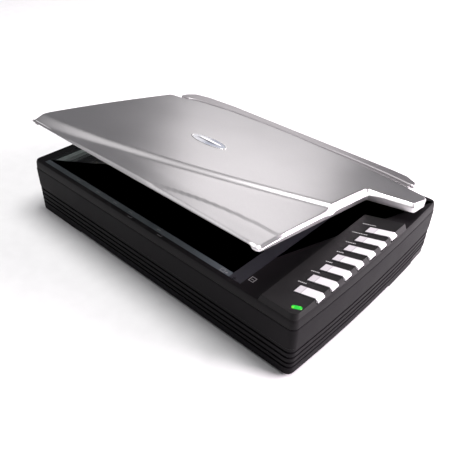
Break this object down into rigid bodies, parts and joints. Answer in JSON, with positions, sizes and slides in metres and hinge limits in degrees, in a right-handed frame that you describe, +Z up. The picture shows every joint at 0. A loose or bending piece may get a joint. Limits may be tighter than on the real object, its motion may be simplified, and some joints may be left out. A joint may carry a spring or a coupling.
{
  "type": "flatbed scanner",
  "caption": "Large-format flatbed document scanner with a hinged lid on lifting hinges, a glass platen, a row of push buttons and a belt-driven optical carriage.",
  "frame": {"origin": "centre of the whole footprint on the surface it stands on, with the lid partly open", "axes": "+X to the button side, +Y from the front to the hinges, +Z up"},
  "size_m": [0.589, 0.3994, 0.1818],
  "materials": {
    "body_plastic": "fine-textured black injection-moulded plastic",
    "panel_plastic": "black satin plastic",
    "platen_glass": "clear float glass",
    "gasket_foam": "black foam tape",
    "ruler_grey": "printed blue-grey plastic strip",
    "ruler_dark": "printed dark grey plastic strip",
    "white_strip": "matt white calibration film",
    "led_green": "clear green light pipe",
    "foot_rubber": "black rubber",
    "steel": "zinc-plated steel",
    "rod_steel": "ground and polished steel",
    "motor_steel": "grey metal can",
    "board_green": "green solder mask",
    "chip_black": "black component packages",
    "belt_rubber": "black toothed belt",
    "black_plastic": "black moulded plastic",
    "port_metal": "tin-plated shell",
    "carriage_plastic": "black glass-filled plastic",
    "cover_plastic": "brown-grey plastic",
    "lamp_white": "white phosphor-coated glass",
    "reflector": "bright aluminium foil",
    "mirror": "front-silvered mirror",
    "bushing_brass": "sintered bronze",
    "gear_plastic": "natural acetal",
    "pinion_brass": "machined brass",
    "lock_orange": "orange plastic",
    "lid_silver": "metallic silver paint on plastic",
    "cover_silver": "metallic silver paint on plastic",
    "liner_white": "light grey plastic",
    "pad_white": "white film on foam",
    "badge_blue": "blue-grey lacquered badge with a silver rim",
    "button_white": "white satin plastic"
  },
  "bodies": {
    "base": {"lower_housing": "body_plastic", "upper_housing": "body_plastic", "button_panel": "panel_plastic", "scan_glass": "platen_glass", "glass_gasket": "gasket_foam", "front_ruler": "ruler_grey", "side_ruler": "ruler_dark", "calibration_strip": "white_strip", "status_led": "led_green", "rubber_feet": "foot_rubber", "housing_screws": "steel", "main_board": "board_green", "board_chips": "chip_black", "button_board": "board_green", "tact_switches": "chip_black", "guide_rod": "rod_steel", "rod_clamps": "black_plastic", "support_rail": "steel", "stepper_motor": "motor_steel", "motor_bracket": "steel", "drive_belt": "belt_rubber", "idler_bracket": "steel", "belt_spring": "steel", "port_plate": "black_plastic", "usb_socket": "port_metal", "dc_jack": "black_plastic", "switch_frame": "black_plastic", "hinge_sockets": "black_plastic"},
    "carriage": {"carriage_housing": "carriage_plastic", "carriage_cover": "cover_plastic", "lamp_tube": "lamp_white", "lamp_reflector": "reflector", "mirrors": "mirror", "lens_barrel": "black_plastic", "sensor_board": "board_green", "sensor_chip": "chip_black", "carriage_bushings": "bushing_brass", "glide_pad": "gear_plastic", "belt_clip": "gear_plastic"},
    "drive_gear": {"drive_gear": "gear_plastic"},
    "motor_pinion": {"motor_pinion": "pinion_brass"},
    "idler_pulley": {"idler_pulley": "gear_plastic"},
    "power_switch": {"power_switch": "black_plastic"},
    "transport_lock": {"transport_lock": "lock_orange"},
    "hinge_posts": {"hinge_posts": "black_plastic"},
    "lid": {"lid_shell": "lid_silver", "lid_liner": "liner_white", "document_pad": "pad_white", "hinge_cover": "cover_silver", "hinge_brackets": "black_plastic", "hinge_pins": "rod_steel", "lid_badge": "badge_blue", "lid_bumpers": "foot_rubber"},
    "button_1": {"button_1": "button_white"},
    "button_2": {"button_2": "button_white"},
    "button_3": {"button_3": "button_white"},
    "button_4": {"button_4": "button_white"},
    "button_5": {"button_5": "button_white"},
    "button_6": {"button_6": "button_white"},
    "button_7": {"button_7": "button_white"}
  },
  "joints": [
    {"name": "hinge_lift", "type": "slide", "parent": "base", "child": "hinge_posts", "axis": [0, 0, 1], "range_m": [0, 0.025]},
    {"name": "lid_hinge", "type": "hinge", "parent": "hinge_posts", "child": "lid", "pos_m": [-0.011, 0.17777, 0.108], "axis": [-1, 0, 0], "range_deg": [-10.57, 69.4]},
    {"name": "carriage_slide", "type": "slide", "parent": "base", "child": "carriage", "axis": [1, 0, 0], "range_m": [0, 0.432]},
    {"name": "drive_gear_spin", "type": "hinge", "parent": "base", "child": "drive_gear", "pos_m": [0.236, 0.15677, 0.056], "axis": [0, 1, 0], "range_deg": [-1, 2480]},
    {"name": "motor_pinion_spin", "type": "hinge", "parent": "base", "child": "motor_pinion", "pos_m": [0.258, 0.14177, 0.06559], "axis": [0, 1, 0], "range_deg": [-7440, 3]},
    {"name": "idler_spin", "type": "hinge", "parent": "base", "child": "idler_pulley", "pos_m": [-0.272, 0.15477, 0.056], "axis": [0, 1, 0], "range_deg": [-1, 2480]},
    {"name": "power_switch_rock", "type": "hinge", "parent": "base", "child": "power_switch", "pos_m": [0.256, 0.17877, 0.021], "axis": [0, 0, 1], "range_deg": [-20, 0]},
    {"name": "transport_lock_slide", "type": "slide", "parent": "base", "child": "transport_lock", "axis": [1, 0, 0], "range_m": [0, 0.008]},
    {"name": "button_1_press", "type": "slide", "parent": "base", "child": "button_1", "axis": [0, 0, -1], "range_m": [0, 0.0012], "stiffness_N_per_m": 400, "springref_m": -0.0006},
    {"name": "button_2_press", "type": "slide", "parent": "base", "child": "button_2", "axis": [0, 0, -1], "range_m": [0, 0.0012], "stiffness_N_per_m": 400, "springref_m": -0.0006},
    {"name": "button_3_press", "type": "slide", "parent": "base", "child": "button_3", "axis": [0, 0, -1], "range_m": [0, 0.0012], "stiffness_N_per_m": 400, "springref_m": -0.0006},
    {"name": "button_4_press", "type": "slide", "parent": "base", "child": "button_4", "axis": [0, 0, -1], "range_m": [0, 0.0012], "stiffness_N_per_m": 400, "springref_m": -0.0006},
    {"name": "button_5_press", "type": "slide", "parent": "base", "child": "button_5", "axis": [0, 0, -1], "range_m": [0, 0.0012], "stiffness_N_per_m": 400, "springref_m": -0.0006},
    {"name": "button_6_press", "type": "slide", "parent": "base", "child": "button_6", "axis": [0, 0, -1], "range_m": [0, 0.0012], "stiffness_N_per_m": 400, "springref_m": -0.0006},
    {"name": "button_7_press", "type": "slide", "parent": "base", "child": "button_7", "axis": [0, 0, -1], "range_m": [0, 0.0012], "stiffness_N_per_m": 400, "springref_m": -0.0006}
  ],
  "couplings": [
    {"joint": "drive_gear_spin", "follows": "carriage_slide", "rad_per_m": 100},
    {"joint": "motor_pinion_spin", "follows": "carriage_slide", "rad_per_m": -300},
    {"joint": "idler_spin", "follows": "carriage_slide", "rad_per_m": 100}
  ]
}
